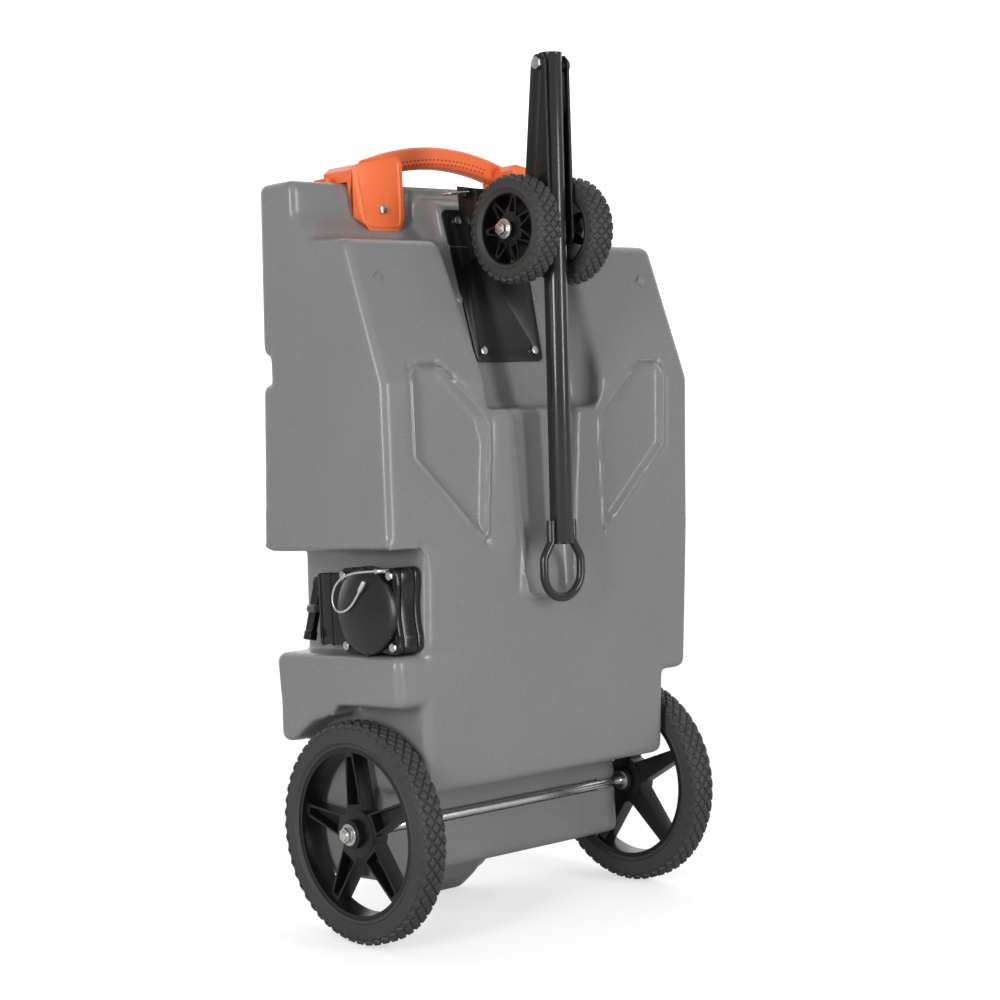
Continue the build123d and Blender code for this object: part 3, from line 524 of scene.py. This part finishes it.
# ---------------------------------------------------------------- tow bar and ring
# A satin black steel tube with plastic end plugs. The towing ring is a bent bar welded to both
# sides of the tube's end.
satin = moulded(
    "satin_black_tube", (0.020, 0.020, 0.0202), 0.2, 0.0012, 0.01,
    cloudy=0.1, scuff=0.03, stretch=(1, 1, 0.06),
)
eased("tow_bar", "tow_tube", "tow_bar", satin, width=0.0006)
eased("tow_bar_cap", "tow_tube_cap", "tow_bar", rim_nylon, width=0.001)
eased("tow_bar_plug", "tow_tube_plug", "tow_bar", rim_nylon, width=0.001)
eased("tow_ring", "towing_ring", "tow_bar", satin, width=0.0008, weld=0.05)

# ---------------------------------------------------------------- carrying handle
# Injection moulded in bright orange: an arched grip between two brackets that wrap over the tank's
# top edge. Rows of small dimples under the grip get a darker orange as painted shade, and one screw
# holds each flap.
orange = moulded(
    "orange_polypropylene", (0.90, 0.17, 0.045), 0.33, 0.0009, 0.15, cloudy=0.05, scuff=0.05
)
# the dimples' darker orange is painted shade under the grip, not a different plastic
painted_shade_orange = moulded("orange_shadow", (0.50, 0.035, 0.012), 0.5, 0.0006, 0.15, cloudy=0.08)
for side, node in ((-1, "left_handle_bracket"), (1, "right_handle_bracket")):
    # the flap's two lower corners are rounded, then every edge, and a bead borders its face
    bracket = taken(node, node + "_moulding")
    opened()
    bpy.ops.mesh.dissolve_limited(angle_limit=math.radians(0.5))
    bpy.ops.mesh.select_mode(type="EDGE")
    bpy.ops.mesh.select_all(action="DESELECT")
    closed()
    for edge in bracket.data.edges:
        ends = [bracket.data.vertices[i].co for i in edge.vertices]
        edge.select = max(end.z for end in ends) < 0.840 and abs(ends[0].y - ends[1].y) > 0.01
    bpy.ops.object.mode_set(mode="EDIT")
    bpy.ops.mesh.bevel(offset=0.008, segments=4)
    closed()
    rounded(bracket, 0.005, 4, 25)
    border = bpy.data.curves.new("border", "CURVE")
    border.dimensions = "3D"
    border.bevel_depth = 0.0034
    border.bevel_resolution = 4
    run = border.splines.new("NURBS")
    outline = [(0.1145, 0.919), (0.1145, 0.880), (0.1145, 0.832), (0.123, 0.8285), (0.149, 0.8285)]
    outline += [(0.172, 0.8285), (0.1820, 0.834), (0.1835, 0.845), (0.1935, 0.902)]
    run.points.add(len(outline) - 1)
    for point, (x, z) in zip(run.points, outline):
        point.co = (side * x, 0.0300, z, 1)
    run.order_u = 3
    run.use_endpoint_u = True
    bead = bpy.data.objects.new("bead", border)
    bpy.context.scene.collection.objects.link(bead)
    pick(bead)
    bpy.ops.object.convert(target="MESH")
    bracket = joined([bracket, bpy.context.object], node + "_moulding")
    finished(bracket, "tank", orange, [node])
eased("handle_grip", "grip_moulding", "tank", orange, width=0.0012, angle=40)
eased("handle_screws", "flap_screws", "tank", zinc, width=0.0006)
# the dimples follow the grip's arch, which rises 23 mm over a span of 260 mm
half_span, arch_rise = 0.130, 0.023
radius = (half_span**2 + arch_rise**2) / (2 * arch_rise)
dimples = []
for step in range(-11, 12):
    for row in (0, 1):
        x = (step + row * 0.5) * 0.0076
        drop = radius - math.sqrt(radius**2 - x**2)
        z = 0.936 - drop - (0.0035 if row else 0.0095)
        bpy.ops.mesh.primitive_uv_sphere_add(
            segments=12, ring_count=6, radius=0.0021, location=(x, 0.0662, z)
        )
        dimple = bpy.context.object
        dimple.scale = (1.15, 0.35, 0.7)
        dimples.append(dimple)
finished(joined(dimples, "grip_dimples"), "tank", painted_shade_orange)

# ---------------------------------------------------------------- waste valve
# A black ABS gate valve bolted against the wall of the recess. The blade's housing reaches towards
# the deck, where the T handle on its rod pulls the blade out of the bore.
abs_black = moulded(
    "black_abs", (0.0035, 0.0035, 0.0037), 0.24, 0.0007, 0.12, cloudy=0.2, scuff=0.04
)
cap_black = moulded(
    "cap_black", (0.010, 0.010, 0.0098), 0.3, 0.0009, 0.2, cloudy=0.15, scuff=0.05
)
nitrile = moulded("nitrile_rubber", (0.018, 0.018, 0.018), 0.6, 0.0007, 0.2, cloudy=0.1)
valve_y, valve_z = -0.052, 0.303
waist = 0.2045
sideways = (0, math.radians(90), 0)
for node in ("valve_tank_flange", "valve_body", "outlet_collar"):
    block = taken(node, node + "_moulding")
    for y, z in (
        (valve_y - waist, valve_z),
        (valve_y, valve_z + waist),
        (valve_y, valve_z - waist),
    ):
        bpy.ops.mesh.primitive_cylinder_add(
            vertices=160, radius=0.151, depth=0.2, location=(-0.25, y, z), rotation=sideways
        )
        scallop = bpy.context.object
        carved(block, scallop)
    pick(block)
    rounded(block, 0.0012)
    finished(block, "tank", abs_black, [node])
for node in ("gate_handle", "gate_rod", "gate_blade", "valve_seals"):
    body, slot = listed(node)
    paint = {"zinc_steel": bright, "seal_rubber": nitrile}.get(slot, abs_black)
    eased(node, node + "_moulding", body, paint, width=0.001)
bpy.ops.mesh.primitive_cylinder_add(
    vertices=24,
    radius=0.0062,
    depth=0.0152,
    location=(-0.2650, 0.084, valve_z),
    rotation=(math.radians(90), 0, 0),
)
boss = bpy.context.object
rounded(boss, 0.0015, 3)
# stiffening ribs round the blade's housing, open in the middle for the blade
ribs = []
for y in (0.0615, 0.040):
    bpy.ops.mesh.primitive_cube_add(size=1, location=(-0.2575, y, valve_z))
    rib = bpy.context.object
    rib.scale = (0.0235, 0.003, 0.0985)
    bpy.ops.object.transform_apply(scale=True)
    bpy.ops.mesh.primitive_cube_add(size=1, location=(-0.2575, y, valve_z))
    slit = bpy.context.object
    slit.scale = (0.012, 0.01, 0.084)
    carved(rib, slit)
    rounded(rib, 0.0009)
    ribs.append(rib)
grey_nylon = moulded("grey_nylon", (0.09, 0.09, 0.088), 0.42, 0.0008, 0.15, cloudy=0.1)
finished(joined([boss], "handle_boss"), "gate", grey_nylon)
finished(joined(ribs, "housing_ribs"), "tank", abs_black)
eased("valve_bolts", "valve_bolt_shanks", "tank", zinc, width=0.0005)
eased("valve_nuts", "valve_bolt_nuts", "tank", zinc, width=0.0008)

# ---------------------------------------------------------------- outlet cap
# A domed ABS cap that twists on to the outlet's collar. It is a spun profile with a raised rib
# across the dome, and a nub above and below, the upper one holding the lanyard's eye.
profile = [
    (-0.2775, 0.0445), (-0.2775, 0.0575), (-0.2830, 0.0580), (-0.2856, 0.0572), (-0.2872, 0.0548),
    (-0.2896, 0.0480), (-0.2925, 0.0380), (-0.2947, 0.0270), (-0.2962, 0.0140), (-0.2967, 0.0),
]
dome = spun("cap_dome", profile, 72, (0, valve_y, valve_z), 0.00005)
# the rib follows the dome's crown, 0.6 mm proud of it
dome_radius = 0.175
line = []
for step in range(25):
    across = -0.054 + 0.0045 * step
    line.append((-0.2973 + across**2 / (2 * dome_radius), across + valve_y, valve_z - 0.0012))
mesh = bpy.data.meshes.new("cap_rib")
mesh.from_pydata(line, [(i, i + 1) for i in range(24)], [])
rib = bpy.data.objects.new("cap_rib", mesh)
bpy.context.scene.collection.objects.link(rib)
pick(rib)
opened()
bpy.ops.mesh.extrude_region_move(TRANSFORM_OT_translate={"value": (0.0035, 0, 0)})
bpy.ops.mesh.select_all(action="SELECT")
bpy.ops.mesh.extrude_region_move(TRANSFORM_OT_translate={"value": (0, 0, 0.0024)})
bpy.ops.mesh.select_all(action="SELECT")
bpy.ops.mesh.normals_make_consistent(inside=False)
closed()
rounded(rib, 0.0004, 2, 40)
parts = [dome, rib]
for z in (valve_z + 0.0555, valve_z - 0.0555):
    bpy.ops.mesh.primitive_cylinder_add(
        vertices=24, radius=0.0042, depth=0.0075, location=(-0.2842, valve_y, z), rotation=sideways
    )
    nub = bpy.context.object
    rounded(nub, 0.0012, 3)
    parts.append(nub)
finished(joined(parts, "outlet_cap_moulding"), "cap", cap_black, ["outlet_cap"])
eased("cap_seal", "cap_seal_ring", "cap", nitrile, width=0.0003)

# ---------------------------------------------------------------- lanyard
# A plastic-coated steel cable crimped to the collar's top bolt. It hangs in a loop across the cap
# and ends in a crimp sleeve beside the cap's eye. The route is (y, z) across the cap's face.
cable = moulded(
    "coated_cable", (0.72, 0.68, 0.65), 0.28, 0.0009, 0.8, cloudy=0.12, scuff=0.1, metallic=0.75
)
route = [
    (-0.0905, 0.3580), (-0.0700, 0.3570), (-0.0480, 0.3555), (-0.0240, 0.3500), (-0.0050, 0.3360),
    (0.0010, 0.3160), (-0.0090, 0.3020), (-0.0280, 0.3040), (-0.0450, 0.3150), (-0.0580, 0.3310),
]
lanyard_x = -0.2987
wire = bpy.data.curves.new("lanyard_cable", "CURVE")
wire.dimensions = "3D"
wire.bevel_depth = 0.0015
wire.bevel_resolution = 4
wire.use_fill_caps = True
spline = wire.splines.new("NURBS")
spline.points.add(len(route) - 1)
for point, (y, z) in zip(spline.points, route):
    point.co = (*(upright @ Vector((lanyard_x, y, z))), 1)
spline.order_u = 3
spline.use_endpoint_u = True
spline.resolution_u = 16
lanyard = bpy.data.objects.new("lanyard_cable", wire)
bpy.context.scene.collection.objects.link(lanyard)
wire.materials.append(cable)
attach(lanyard, "tank")
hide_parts("cap_lanyard")
sleeve = eased("lanyard_sleeve", "lanyard_crimp", "tank", cable, width=0.0009)
eased("lanyard_anchor", "lanyard_post", "tank", zinc, width=0.0008)

# ---------------------------------------------------------------- deck fittings
# A level gauge with a clear lens in the middle of the deck, and a capped rinse neck near its top.
clear = moulded("clear_lens", (0.62, 0.66, 0.68), 0.08, 0.002, 0.03, cloudy=0.05)
eased("gauge_body", "gauge_bezel", "tank", rim_nylon, width=0.0012)
eased("gauge_lens", "gauge_window", "tank", clear, width=0.0012)
eased("rinse_neck", "rinse_inlet_neck", "tank", rim_nylon, width=0.0008)
eased("rinse_cap", "rinse_inlet_cap", "rinse_cap", rim_nylon, width=0.0012)
